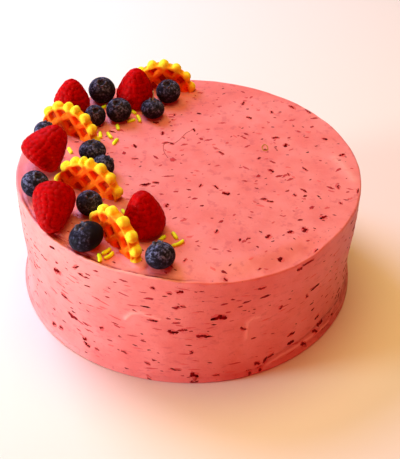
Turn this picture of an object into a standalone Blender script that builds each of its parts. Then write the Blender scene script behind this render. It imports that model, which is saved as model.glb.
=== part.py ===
"""Round cake coated in berry buttercream, with fruit, half waffles and sprinkles along its edge.

Metres, +Z up. The origin is the middle of the underside, and -Y is the front.
"""

import math

import bmesh
import bpy
from mathutils import Matrix

MM = 0.001

# Driving dimensions of the cake
CAKE_HEIGHT = 67.5 * MM
CAKE_RADIUS = 90.2 * MM
FOOT_RADIUS = 90.6 * MM
CAKE_STEPS = 72
EDGE_ROUND = 1.8 * MM
WAIST_DEPTH = 1.9 * MM
WAIST_HEIGHT = 20.0 * MM
WAIST_SPREAD = 22.0 * MM
SIDE_WOBBLE = 0.5 * MM
BEAD_DEPTH = 1.1 * MM
BEAD_HEIGHT = 5.0 * MM
BEAD_SPREAD = 2.2 * MM
LIP_HEIGHT = 1.1 * MM
LIP_RADIUS = 88.2 * MM
GROOVE_DEPTH = 0.8 * MM
GROOVE_RADIUS = 86.0 * MM
RIDGE_SPREAD = 1.2 * MM
LIP_DIRECTION = math.radians(-116)

# Toppings rest this far above the cream, each a body of its own
SEAT_GAP = 0.3 * MM
SEAT_HEIGHT = CAKE_HEIGHT + SEAT_GAP

# Driving dimensions of the toppings
BERRY_PRESS = 0.8 * MM
DRUPELET_COLUMNS = 12
DRUPELET_ROWS = 8
DRUPELET_RISE_SHARE = 0.24
DRUPELET_SLOPE_SHARE = 0.27
TIP_RISE = 1.0 * MM
BLUEBERRY_STEPS = 15
CROWN_LOBES = 5
CROWN_SHARE = 0.30
CROWN_SPREAD = 0.2
CROWN_WAVE = 0.3 * MM
SHOULDER_SHARE = 1.35 * CROWN_SHARE
CROWN_RISE = 0.5 * MM
CROWN_DEPTH = 1.1 * MM
WAFFLE_THICKNESS = 6.4 * MM
WAFFLE_ROUND = 0.9 * MM
KNOB_COUNT = 8
KNOB_POINTS = 3
KNOB_RELIEF = 1.6 * MM
PIT_PITCH = 7.6 * MM
PIT_WIDTH = 5.4 * MM
PIT_FLOOR_WIDTH = 3.0 * MM
PIT_DEPTH = 2.1 * MM
FIRST_PIT_HEIGHT = 3.2 * MM
SPRINKLE_RADIUS = 1.0 * MM
SPRINKLE_RISE = 0.35 * MM

# x, y, width and length in mm, then the lean of the tip and its direction in degrees
RASPBERRIES = {
    "raspberry_back_left": (-66.8, 54.8, 20.0, 18.8, 3, 40),
    "raspberry_back": (-31.5, 63.2, 21.0, 21.8, 4, 340),
    "raspberry_left": (-72.9, -2.4, 22.0, 23.0, 48, 32),
    "raspberry_front_left": (-65.4, -49.2, 20.6, 24.5, 112, 268),
    "raspberry_front": (-21.4, -52.6, 20.3, 22.6, 5, 190),
}

# x, y, width and height in mm, then the lean of the crown and its direction in degrees
BLUEBERRIES = {
    "blueberry_01": (-50.8, 64.5, 15.4, 14.4, 8, 270),
    "blueberry_02": (-13.1, 65.9, 14.0, 13.0, 6, 200),
    "blueberry_03": (-21.3, 49.0, 13.3, 11.0, 10, 80),
    "blueberry_04": (-40.0, 45.1, 14.2, 13.0, 22, 250),
    "blueberry_05": (-52.6, 40.2, 11.8, 11.6, 30, 285),
    "blueberry_06": (-78.4, 23.0, 11.8, 11.2, 40, 60),
    "blueberry_07": (-51.3, 6.3, 14.5, 10.8, 5, 90),
    "blueberry_08": (-44.4, -7.4, 11.9, 11.0, 60, 40),
    "blueberry_09": (-77.3, -25.8, 14.3, 13.0, 24, 330),
    "blueberry_10": (-48.8, -39.9, 13.2, 12.4, 14, 300),
    "blueberry_11": (-47.9, -66.6, 17.4, 12.8, 25, 165),
    "blueberry_12": (-12.6, -79.0, 14.3, 12.8, 26, 120),
}

# x, y, radius and depth in the cream in mm, then in degrees the heading of the cut side,
# the lean to the back and the tilt that lifts the left end
WAFFLES = {
    "waffle_back": (-16.4, 78.9, 19.6, 1.0, -6, 1, 0),
    "waffle_back_left": (-65.4, 29.7, 19.8, 1.2, -31, 3, 8),
    "waffle_left": (-51.0, -22.1, 20.1, 1.2, -25, 4, 0),
    "waffle_front": (-34.8, -63.3, 19.8, 1.0, -49, 5, 0),
}

# x, y and length in mm, heading in degrees, and the bend of the middle in mm
SPRINKLES = (
    (-49.7, 56.0, 5.5, 52, 0.0),
    (-32.4, 52.4, 5.5, -54, 0.0),
    (-29.0, 45.4, 7.0, -72, 0.3),
    (-33.0, 42.8, 5.5, 36, 0.0),
    (-40.0, 36.0, 6.0, -77, 0.0),
    (-44.0, 27.7, 6.5, -64, 0.0),
    (-40.2, 22.0, 6.0, 70, 0.2),
    (-49.0, 28.0, 6.0, -83, 0.0),
    (-63.9, 12.6, 5.5, -66, 0.0),
    (-44.6, -33.0, 5.0, -32, 0.0),
    (-32.0, -39.8, 4.5, -60, 0.0),
    (-38.2, -70.4, 6.0, 50, 0.0),
    (-37.0, -73.2, 6.5, 52, -0.8),
    (-41.2, -75.2, 6.0, -80, 0.3),
    (-12.2, -59.6, 5.0, 51, 0.0),
    (-6.3, -57.4, 5.5, -66, 0.0),
    (-4.8, -63.0, 7.5, 38, -0.9),
    (-87.0, 14.2, 5.0, 80, 0.0),
)


def clear_scene():
    for obj in list(bpy.data.objects):
        bpy.data.objects.remove(obj, do_unlink=True)


def new_collection(name, shown=True):
    collection = bpy.data.collections.new(name)
    collection.hide_render = not shown
    bpy.context.scene.collection.children.link(collection)
    return collection


def linear(channel):
    """A screen colour channel, 0 to 255, as a linear share."""
    share = channel / 255
    return share / 12.92 if share <= 0.04045 else ((share + 0.055) / 1.055) ** 2.4


def surface(name, screen_colour, roughness):
    material = bpy.data.materials.new(name)
    material.use_nodes = True
    shader = material.node_tree.nodes["Principled BSDF"]
    shader.inputs["Base Color"].default_value = (*map(linear, screen_colour), 1)
    shader.inputs["Roughness"].default_value = roughness
    shader.inputs["Metallic"].default_value = 0
    return material


def new_object(name, mesh, material, collection):
    """A smooth-shaded object of this mesh, with its one material."""
    mesh.materials.clear()
    mesh.materials.append(material)
    mesh.shade_smooth()
    mesh.set_sharp_from_angle(angle=math.radians(40))
    obj = bpy.data.objects.new(name, mesh)
    collection.objects.link(obj)
    return obj


def evaluated_mesh(obj):
    """The object's mesh with its modifiers applied, welded where a cap meets a side."""
    graph = bpy.context.evaluated_depsgraph_get()
    mesh = bpy.data.meshes.new_from_object(obj.evaluated_get(graph))
    bm = bmesh.new()
    bm.from_mesh(mesh)
    bmesh.ops.remove_doubles(bm, verts=bm.verts, dist=0.001 * MM)
    bmesh.ops.recalc_face_normals(bm, faces=bm.faces)
    bm.to_mesh(mesh)
    bm.free()
    return mesh


def turned_mesh(name, profile, steps, collection):
    """A closed form turned about Z. Its profile runs from the axis, down the outside, to the axis."""
    outline = bpy.data.meshes.new(name)
    edges = [(i, i + 1) for i in range(len(profile) - 1)]
    outline.from_pydata([(radius, 0, height) for radius, height in profile], edges, [])
    helper = bpy.data.objects.new(name, outline)
    collection.objects.link(helper)
    screw = helper.modifiers.new("Turn", "SCREW")
    screw.steps = steps
    screw.render_steps = steps
    screw.use_merge_vertices = True
    screw.merge_threshold = 0.01 * MM
    mesh = evaluated_mesh(helper)
    bpy.data.objects.remove(helper, do_unlink=True)
    return mesh


def bump(value, centre, spread):
    """A smooth hump of height 1."""
    return math.exp(-(((value - centre) / spread) ** 2))


def smooth_step(low, high, value):
    share = min(max((value - low) / (high - low), 0), 1)
    return share * share * (3 - 2 * share)


def pressed_seat(mesh):
    """The height, in a berry's own frame, at which the cream flattens it."""
    return min(vertex.co.z for vertex in mesh.vertices) + BERRY_PRESS


def set_on_cream(name, mesh, x, y, seat, material, collection):
    """Cuts the mesh level at its seat and rests the cut on the cream."""
    bm = bmesh.new()
    bm.from_mesh(mesh)
    everything = bm.verts[:] + bm.edges[:] + bm.faces[:]
    bmesh.ops.bisect_plane(
        bm, geom=everything, plane_co=(0, 0, seat), plane_no=(0, 0, 1), clear_inner=True
    )
    open_edges = [edge for edge in bm.edges if edge.is_boundary]
    bmesh.ops.holes_fill(bm, edges=open_edges, sides=0)
    bmesh.ops.recalc_face_normals(bm, faces=bm.faces)
    bm.to_mesh(mesh)
    bm.free()
    obj = new_object(name, mesh, material, collection)
    obj.location = (x * MM, y * MM, SEAT_HEIGHT - seat)
    return obj


def side_radius(height):
    """The side draws in to a slight waist below the middle."""
    return CAKE_RADIUS - WAIST_DEPTH * bump(height, WAIST_HEIGHT, WAIST_SPREAD)


def cake_profile():
    """(radius, height) from the middle of the top, over the edge and down to the underside."""
    top = CAKE_HEIGHT
    flat_radii = [0, 0.6, 0.92]
    profile = [(share * CAKE_RADIUS, top) for share in flat_radii]
    profile += [(GROOVE_RADIUS, top), (LIP_RADIUS, top)]
    for angle in (40, 90):
        turn = math.radians(angle)
        inset = EDGE_ROUND * (1 - math.sin(turn))
        profile.append((CAKE_RADIUS - inset, top - EDGE_ROUND * (1 - math.cos(turn))))
    for height in (55, 43, 32, 21, 12):
        profile.append((side_radius(height * MM), height * MM))
    profile += [
        (side_radius(BEAD_HEIGHT) - 0.2 * MM, BEAD_HEIGHT + 1.6 * BEAD_SPREAD),
        (side_radius(BEAD_HEIGHT) + 0.3 * MM, BEAD_HEIGHT),
        (FOOT_RADIUS, 1.2 * MM),
        (FOOT_RADIUS - 0.4 * MM, 0),
        (0, 0),
    ]
    return profile


def lip_share(angle):
    """How much of the ragged lip stands at this angle: all at the front left, none at the right."""
    near = smooth_step(0.45, 0.85, math.cos(angle - LIP_DIRECTION))
    ragged = 0.72 + 0.28 * math.sin(13 * angle) * math.sin(7 * angle + 1.3)
    return near * ragged


def bead_share(angle):
    """How far the foot bead stands out: all at the right and back, little at the front left."""
    return 0.25 + 0.75 * smooth_step(-0.5, 0.2, math.cos(angle - math.radians(70)))


def make_uneven(mesh):
    """Gives the turned cake its wobbly side, its foot bead, and the lip and groove of its edge."""
    for vertex in mesh.vertices:
        x, y, height = vertex.co
        radius = math.hypot(x, y)
        if radius < GROOVE_RADIUS - RIDGE_SPREAD:
            continue
        angle = math.atan2(y, x)
        wave = 0.6 * math.sin(3 * angle + 0.6) + 0.4 * math.sin(5 * angle + 2.1)
        inside = math.sin(math.pi * min(height / CAKE_HEIGHT, 1))
        reach = radius + SIDE_WOBBLE * wave * inside
        reach += BEAD_DEPTH * bead_share(angle) * bump(height, BEAD_HEIGHT, BEAD_SPREAD)
        if height > CAKE_HEIGHT - EDGE_ROUND / 2:
            ridge = LIP_HEIGHT * bump(radius, LIP_RADIUS, RIDGE_SPREAD)
            groove = GROOVE_DEPTH * bump(radius, GROOVE_RADIUS, RIDGE_SPREAD)
            vertex.co.z += lip_share(angle) * (ridge - groove)
        vertex.co.x = reach * math.cos(angle)
        vertex.co.y = reach * math.sin(angle)


def sprinkle(index, x, y, length, heading, bend, material, collection):
    """A rod with round ends, slightly bent, half sunk in the cream."""
    bm = bmesh.new()
    bmesh.ops.create_uvsphere(bm, u_segments=6, v_segments=4, radius=1)
    for vertex in bm.verts:
        across, up, along = vertex.co
        swell = 1.2 if abs(along) > 0.5 else 1
        vertex.co.x = math.copysign(abs(along) ** 0.6, along) * length * MM / 2
        vertex.co.y = across * swell * SPRINKLE_RADIUS + bend * MM * (1 - along * along)
        vertex.co.z = up * swell * SPRINKLE_RADIUS
    bmesh.ops.recalc_face_normals(bm, faces=bm.faces)
    mesh = bpy.data.meshes.new(f"sprinkle_{index}")
    bm.to_mesh(mesh)
    bm.free()
    obj = new_object(mesh.name, mesh, material, collection)
    obj.location = (x * MM, y * MM, CAKE_HEIGHT + SPRINKLE_RISE)
    obj.rotation_euler.z = math.radians(heading)
    return obj


def make_cake(cream, sugar, parts, helpers):
    """The uncut cake, with its sprinkles fused to the top."""
    mesh = turned_mesh("cake", cake_profile(), CAKE_STEPS, helpers)
    make_uneven(mesh)
    cake = new_object("cake", mesh, cream, parts)
    sprinkles = new_collection("sprinkles", shown=False)
    for index, placement in enumerate(SPRINKLES):
        sprinkle(index, *placement, sugar, sprinkles)
    union = cake.modifiers.new("Sprinkles", "BOOLEAN")
    union.operation = "UNION"
    union.operand_type = "COLLECTION"
    union.collection = sprinkles
    union.material_mode = "TRANSFER"
    fused = evaluated_mesh(cake)
    cake.modifiers.clear()
    cake.data = fused
    for obj in list(sprinkles.objects):
        bpy.data.objects.remove(obj, do_unlink=True)
    return cake


def leaning(lean, direction):
    """Tips +Z by lean towards a direction in the XY plane, both in degrees."""
    turn = Matrix.Rotation(math.radians(direction), 4, "Z")
    return turn @ Matrix.Rotation(math.radians(lean), 4, "Y") @ turn.inverted()


def raspberry_outline(up):
    """Share of the full width at a place from -1, the open end, to 1, the tip."""
    fullest = 0.97
    return (1 - up * up) ** 0.34 * (1 - 0.4 * (up + 0.4)) / fullest


def make_raspberry(name, placement, material, collection):
    """A blunt cone covered in drupelets, each a face of the cone drawn in and raised."""
    x, y, width, length, lean, direction = placement
    bm = bmesh.new()
    bmesh.ops.create_uvsphere(
        bm, u_segments=DRUPELET_COLUMNS, v_segments=DRUPELET_ROWS, radius=1
    )
    for vertex in bm.verts:
        up = min(max(vertex.co.z, -1), 1)
        row = math.acos(up) / math.pi * DRUPELET_ROWS
        # Half a column further round in each row, so that the drupelets lie like bricks
        angle = math.atan2(vertex.co.y, vertex.co.x) + row * math.pi / DRUPELET_COLUMNS
        radius = raspberry_outline(up) * width * MM / 2
        vertex.co.x = radius * math.cos(angle)
        vertex.co.y = radius * math.sin(angle)
        vertex.co.z = up * (length * MM / 2 - TIP_RISE)
    bmesh.ops.recalc_face_normals(bm, faces=bm.faces)
    bmesh.ops.inset_individual(
        bm,
        faces=bm.faces[:],
        thickness=DRUPELET_SLOPE_SHARE,
        depth=DRUPELET_RISE_SHARE,
        use_relative_offset=True,
    )
    mesh = bpy.data.meshes.new(name)
    bm.to_mesh(mesh)
    bm.free()
    mesh.transform(leaning(lean, direction))
    return set_on_cream(name, mesh, x, y, pressed_seat(mesh), material, collection)


def blueberry_profile(width, height):
    """(radius, height) from the middle of the crown's hollow to the bottom."""
    crown = CROWN_SHARE * width / 2
    rim = math.sqrt(1 - CROWN_SHARE**2) * height / 2
    shoulder = math.sqrt(1 - SHOULDER_SHARE**2) * height / 2
    profile = [
        (0, rim - CROWN_DEPTH),
        (0.7 * crown, rim - 0.85 * CROWN_DEPTH),
        (crown, rim + CROWN_RISE),
        (SHOULDER_SHARE * width / 2, shoulder),
    ]
    for angle in (48, 73, 98, 125, 152, 180):
        turn = math.radians(angle)
        profile.append((abs(math.sin(turn)) * width / 2, math.cos(turn) * height / 2))
    profile[-1] = (0, -height / 2)
    return profile


def make_blueberry(name, placement, material, collection, helpers):
    """A slightly flat ball with a five-lobed crown round a hollow."""
    x, y, width, height, lean, direction = placement
    profile = blueberry_profile(width * MM, height * MM)
    mesh = turned_mesh(name, profile, BLUEBERRY_STEPS, helpers)
    crest_height = profile[2][1]
    for vertex in mesh.vertices:
        if abs(vertex.co.z - crest_height) > 0.01 * MM:
            continue
        lobe = math.cos(CROWN_LOBES * math.atan2(vertex.co.y, vertex.co.x))
        vertex.co.x *= 1 + CROWN_SPREAD * lobe
        vertex.co.y *= 1 + CROWN_SPREAD * lobe
        vertex.co.z += CROWN_WAVE * lobe
    mesh.transform(leaning(lean, direction))
    return set_on_cream(name, mesh, x, y, pressed_seat(mesh), material, collection)


def waffle_outline(radius):
    """The half disc's outline, anticlockwise from the right of the cut side, a lobe to each knob."""
    steps = KNOB_COUNT * KNOB_POINTS
    points = []
    for step in range(steps + 1):
        angle = math.pi * step / steps
        lobe = abs(math.sin(KNOB_COUNT * angle)) ** 0.6
        reach = radius - KNOB_RELIEF * (1 - lobe)
        points.append((reach * math.cos(angle), reach * math.sin(angle)))
    return points


def waffle_blank(name, radius, collection):
    """The half disc before its pits: a flat outline with its thickness and rounded edges."""
    curve = bpy.data.curves.new(name, "CURVE")
    curve.dimensions = "2D"
    curve.fill_mode = "BOTH"
    curve.extrude = WAFFLE_THICKNESS / 2 - WAFFLE_ROUND
    curve.bevel_depth = WAFFLE_ROUND
    curve.bevel_resolution = 0
    curve.offset = -WAFFLE_ROUND
    outline = waffle_outline(radius)
    spline = curve.splines.new("POLY")
    spline.points.add(len(outline) - 1)
    spline.use_cyclic_u = True
    for point, (across, up) in zip(spline.points, outline):
        point.co = (across, up, 0, 1)
    helper = bpy.data.objects.new(name, curve)
    collection.objects.link(helper)
    mesh = evaluated_mesh(helper)
    bpy.data.objects.remove(helper, do_unlink=True)
    return mesh


def pit_centres(radius):
    """Places on a diagonal lattice that leave a whole bar inside the knobs."""
    spacing = PIT_PITCH / math.sqrt(2)
    rows = int(radius / spacing) + 1
    for row in range(rows):
        up = FIRST_PIT_HEIGHT + row * spacing
        for column in range(-rows, rows + 1):
            across = (2 * column + 1 + row % 2) * spacing
            if math.hypot(across, up) < radius - KNOB_RELIEF - PIT_WIDTH / 2:
                yield across, up


def pit_cutter(name, radius, collection):
    """Four-sided tapered plugs, standing in both faces of the waffle."""
    margin = 0.6 * MM
    taper = (PIT_WIDTH - PIT_FLOOR_WIDTH) / PIT_DEPTH
    mouth = PIT_WIDTH + taper * margin
    depth = PIT_DEPTH + margin
    bm = bmesh.new()
    for across, up in pit_centres(radius):
        for side in (1, -1):
            middle = side * (WAFFLE_THICKNESS / 2 - PIT_DEPTH + depth / 2)
            flip = Matrix.Rotation(0 if side == 1 else math.pi, 4, "X")
            bmesh.ops.create_cone(
                bm,
                cap_ends=True,
                segments=4,
                radius1=PIT_FLOOR_WIDTH / math.sqrt(2),
                radius2=mouth / math.sqrt(2),
                depth=depth,
                matrix=Matrix.Translation((across, up, middle)) @ flip,
            )
    bmesh.ops.recalc_face_normals(bm, faces=bm.faces)
    mesh = bpy.data.meshes.new(name)
    bm.to_mesh(mesh)
    bm.free()
    cutter = bpy.data.objects.new(name, mesh)
    cutter.hide_render = True
    cutter.display_type = "WIRE"
    collection.objects.link(cutter)
    return cutter


def make_waffle(name, placement, material, collection, helpers):
    """Half a small waffle, standing on its cut side."""
    x, y, radius, depth, heading, lean, tilt = placement
    blank = waffle_blank(name, radius * MM, helpers)
    body = bpy.data.objects.new(name + "_blank", blank)
    collection.objects.link(body)
    cut = body.modifiers.new("Pits", "BOOLEAN")
    cut.operation = "DIFFERENCE"
    cut.object = pit_cutter(name + "_pits", radius * MM, helpers)
    mesh = evaluated_mesh(body)
    bpy.data.objects.remove(body, do_unlink=True)
    tilted = Matrix.Rotation(math.radians(-tilt), 4, "Z")
    upright = Matrix.Rotation(math.radians(90 - lean), 4, "X")
    mesh.transform(Matrix.Rotation(math.radians(heading), 4, "Z") @ upright @ tilted)
    return set_on_cream(name, mesh, x, y, depth * MM, material, collection)


def main():
    clear_scene()
    parts = new_collection("berry_cream_cake")
    helpers = new_collection("cutters", shown=False)
    cream = surface("berry_buttercream", (250, 135, 123), 0.6)
    sugar = surface("sprinkle_sugar", (219, 210, 30), 0.4)
    red = surface("raspberry_flesh", (165, 6, 8), 0.4)
    blue = surface("blueberry_skin", (42, 35, 46), 0.5)
    baked = surface("waffle_crust", (242, 120, 30), 0.7)
    make_cake(cream, sugar, parts, helpers)
    for name, placement in RASPBERRIES.items():
        make_raspberry(name, placement, red, parts)
    for name, placement in BLUEBERRIES.items():
        make_blueberry(name, placement, blue, parts, helpers)
    for name, placement in WAFFLES.items():
        make_waffle(name, placement, baked, parts, helpers)


main()
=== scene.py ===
"""Round cake in berry buttercream, dressed with fruit, half waffles, sprinkles and berry flecks.

Metres, +Z up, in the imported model's frame. The camera looks from -Y, the front.
"""

import math

import bmesh
import bpy
import numpy as np
from mathutils import Matrix, Vector, noise
from mathutils.bvhtree import BVHTree


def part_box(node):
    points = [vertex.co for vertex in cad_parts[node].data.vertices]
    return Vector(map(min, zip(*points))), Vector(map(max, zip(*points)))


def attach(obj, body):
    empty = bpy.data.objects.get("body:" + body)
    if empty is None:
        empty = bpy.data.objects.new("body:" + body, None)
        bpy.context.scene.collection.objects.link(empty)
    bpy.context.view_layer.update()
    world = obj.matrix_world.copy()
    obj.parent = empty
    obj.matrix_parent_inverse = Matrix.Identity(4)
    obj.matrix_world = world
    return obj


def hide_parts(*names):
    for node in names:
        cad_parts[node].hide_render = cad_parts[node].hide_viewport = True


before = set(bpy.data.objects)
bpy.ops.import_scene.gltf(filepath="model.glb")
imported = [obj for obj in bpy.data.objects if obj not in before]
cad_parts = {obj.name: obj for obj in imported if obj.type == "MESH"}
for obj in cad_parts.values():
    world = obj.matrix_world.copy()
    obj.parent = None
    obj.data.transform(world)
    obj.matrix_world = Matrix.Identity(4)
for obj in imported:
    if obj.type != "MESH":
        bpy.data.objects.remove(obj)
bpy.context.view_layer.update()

MM = 0.001
random = np.random.default_rng(7)

# The cake, as in the model but with a crisper edge
CAKE_HEIGHT = 67.5 * MM
CAKE_RADIUS = 90.2 * MM
FOOT_RADIUS = 90.6 * MM
EDGE_ROUND = 0.9 * MM
WAIST_DEPTH = 1.9 * MM
WAIST_HEIGHT = 20.0 * MM
WAIST_SPREAD = 22.0 * MM
SIDE_WOBBLE = 0.5 * MM
BEAD_DEPTH = 1.1 * MM
BEAD_HEIGHT = 5.0 * MM
BEAD_SPREAD = 2.2 * MM
LIP_HEIGHT = 0.9 * MM
LIP_RADIUS = 89.3 * MM
GROOVE_DEPTH = 0.6 * MM
GROOVE_RADIUS = 87.8 * MM
RIDGE_SPREAD = 0.9 * MM
CREASE_DEPTH = 0.5 * MM
MARK_RISE = 0.5 * MM
CAKE_COLUMNS = 680
MM_PER_DEGREE = 1.57  # along the side

# How far the edge of the top sags, in mm, by direction in degrees: most at the front right
SAG = (
    (-160, 0), (-105, 0.2), (-90, 0.9), (-80, 1.5), (-72, 2.4),
    (-55, 3.0), (-48, 2.4), (-42, 0.5), (-36, 0),
)

# Height in mm of the foot bead's crest, where a pale highlight is painted, by direction in degrees
BEAD_LINE = ((-65, 0.5), (-61, 3.6), (-57, 5.3), (-47, 5.5), (-35, 4.5), (-23, 3.2), (-10, 3.2))

# The toppings
BERRY_PRESS = 0.8 * MM
CROWN_SHARE = 0.30
WAFFLE_THICKNESS = 6.4 * MM
PIT_PITCH = 7.6 * MM
PIT_DEPTH = 2.1 * MM
FIRST_PIT_HEIGHT = 3.2 * MM
PIT_WALL = (0.8 * MM, 2.4 * MM)  # its top and foot, from the middle line of a bar
PIT_MARGIN = (4.6 * MM, 3.8 * MM)  # where pits begin to fade and where they end, from the rim
PLATE_INSET = 2.8 * MM
PLATE_THICKNESS = 6.0 * MM
KNOB_RADIUS = 3.2 * MM
KNOB_HALF_WIDTHS = (2.0 * MM, 3.0 * MM)  # the least and the most
KNOB_HALF_THICKNESS = 3.0 * MM
KNOB_FLATNESS = 0.6  # 1 is a ball, less is flatter in front and behind
DRUPELET_RISE = 0.58 * MM
DRUPELET_REACH = 1.85 * MM
DRUPELET_SPACING = 3.1 * MM
SPRINKLE_RADIUS = 1.0 * MM
SPRINKLE_RISE = 0.35 * MM

# Width and length in mm, the lean of the tip and its direction in degrees, then how strongly
# it tapers to the tip
RASPBERRIES = {
    "raspberry_back_left": (20.0, 18.8, 3, 40, 0.40),
    "raspberry_back": (21.0, 21.8, 4, 340, 0.39),
    "raspberry_left": (22.0, 23.0, 48, 32, 0.34),
    "raspberry_front_left": (20.6, 24.5, 112, 268, 0.34),
    "raspberry_front": (20.3, 22.6, 5, 190, 0.40),
}

# Width and height in mm, then the lean of the crown and its direction in degrees
BLUEBERRIES = {
    "blueberry_01": (15.4, 14.4, 21, 270),
    "blueberry_02": (14.0, 13.0, 20, 250),
    "blueberry_03": (13.3, 11.0, 10, 80),
    "blueberry_04": (14.2, 13.0, 22, 250),
    "blueberry_05": (11.8, 11.6, 30, 285),
    "blueberry_06": (11.8, 11.2, 40, 60),
    "blueberry_07": (14.5, 10.8, 5, 90),
    "blueberry_08": (11.9, 11.0, 60, 40),
    "blueberry_09": (14.3, 13.0, 24, 330),
    "blueberry_10": (13.2, 12.4, 14, 300),
    "blueberry_11": (17.4, 12.8, 25, 165),
    "blueberry_12": (14.3, 12.8, 26, 120),
}

# The berry with half the bloom and painted shade on its right side, where the bloom is gone, and the one
# with a stem
SHADE_SIDED_BERRY = "blueberry_11"
STEM_BERRY = "blueberry_03"

# Radius and depth in the cream in mm, then in degrees the heading of the cut side,
# the lean to the back and the tilt that lifts the left end
WAFFLES = {
    "waffle_back": (19.6, 1.0, -6, 1, 0),
    "waffle_back_left": (19.8, 1.2, -31, 3, 8),
    "waffle_left": (20.1, 1.2, -25, 4, 0),
    "waffle_front": (19.8, 1.0, -49, 5, 0),
}

# Directions of each waffle's knobs, in degrees from its right end over the top
KNOBS = {
    "waffle_back": (165, 140, 112, 88, 62, 36, 12),
    "waffle_back_left": (152, 125, 100, 84, 61, 38, 14),
    "waffle_left": (171, 139, 116, 100, 88, 67, 45, 18, -10),
    "waffle_front": (157, 124, 101, 70, 43, 19, 0),
}

# x, y and length in mm, heading in degrees, and the bend of the middle in mm
SPRINKLES = (
    (-49.7, 56.0, 5.5, 52, 0.0), (-32.4, 52.4, 5.5, -54, 0.0), (-29.0, 45.4, 7.0, -72, 0.3),
    (-33.0, 42.8, 5.5, 36, 0.0), (-40.0, 36.0, 6.0, -77, 0.0), (-44.0, 27.7, 6.5, -64, 0.0),
    (-40.2, 22.0, 6.0, 70, 0.2), (-49.0, 28.0, 6.0, -83, 0.0), (-63.9, 12.6, 5.5, -66, 0.0),
    (-44.6, -33.0, 5.0, -32, 0.0), (-32.0, -39.8, 4.5, -60, 0.0), (-38.2, -70.4, 6.0, 50, 0.0),
    (-37.0, -73.2, 6.5, 52, -0.8), (-41.2, -75.2, 6.0, -80, 0.3), (-12.2, -59.6, 5.0, 51, 0.0),
    (-6.3, -57.4, 5.5, -66, 0.0), (-4.8, -63.0, 7.5, 38, -0.9), (-87.0, 14.2, 5.0, 80, 0.0),
)

# The larger dark flecks on the top: x, y, length and width in mm, then heading in degrees
TOP_FLECKS = (
    (30, 65, 3.8, 1.8, 65), (-19, 42, 3.4, 2.5, 20), (-15, 32, 3.5, 1.9, -88), (2, 36, 3.4, 1.5, -59),
    (-30, 19, 3.5, 2.3, -75), (-29, 7, 3.8, 1.5, -8), (-9, 51, 2.3, 1.3, 81), (17, 14, 4.2, 1.6, -56),
    (-17, -14, 3.3, 1.9, 2), (-22, -16, 4.9, 2.5, 41), (6, -16, 2.8, 1.5, 65), (14, -17, 4.1, 1.5, -40),
    (19, -22, 4.1, 3.1, -43), (-11, -33, 3.3, 2.2, 69), (33, 50, 3.5, 2.5, -26), (46, 56, 2.7, 2.0, 80),
    (58, 62, 4.7, 2.1, -57), (67, 58, 4.9, 1.7, -75), (47, 30, 3.6, 2.5, -7), (74, 30, 2.7, 2.2, -5),
    (52, 23, 3.5, 2.4, -87), (37, 10, 2.1, 1.8, 69), (82, 15, 3.4, 2.2, 52), (43, -1, 3.3, 2.2, -34),
    (52, -4, 2.5, 1.5, -72), (61, 1, 4.1, 1.4, -60), (77, -14, 3.9, 1.7, -81), (87, -17, 4.3, 1.6, 86),
    (59, -18, 4.4, 1.4, -45), (54, -22, 2.3, 1.4, -87), (38, -26, 2.8, 2.1, 8), (41, -28, 3.6, 1.8, -16),
    (77, -28, 2.4, 1.5, -78), (67, -40, 4.4, 2.9, 32), (14, -53, 3.0, 1.5, 78), (39, -56, 3.4, 2.7, 54),
    (50, -52, 2.8, 2.6, 47), (57, -50, 4.1, 3.0, -83), (25, -59, 2.0, 1.6, 64), (29, -58, 2.4, 1.2, 52),
    (62, -64, 3.0, 1.8, 51), (44, -71, 2.9, 2.8, 76), (-1, -75, 2.5, 1.1, 64), (18, -86, 2.7, 1.6, -68),
    (-13, 23, 4.4, 1.3, 14), (-9.6, 22.4, 2.3, 1.6, -20),
)

# Fainter smears on the top, each given in the same way
TOP_SMEARS = (
    (-9, 7, 4.6, 4.2, 87), (-52, -8, 5.0, 2.2, 10), (-11, -8, 6.8, 1.2, 6), (-18, 9, 4.4, 1.6, -41),
    (30, 29, 4.4, 1.5, -42), (31, 33, 3.7, 1.6, -37), (70, 51, 5.3, 1.4, 12), (60, 37, 3.7, 1.7, -28),
    (27, -60, 3.1, 2.1, 30), (44, 7, 4.8, 1.6, -42), (36, -6, 3.5, 2.3, 65), (62, -32, 3.7, 2.0, 44),
    (16, -45, 3.4, 1.7, 39), (73, -15, 5.4, 1.7, -33), (-35, 12, 3.8, 2.1, -86), (3, -27, 3.2, 1.6, 22),
)

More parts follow.
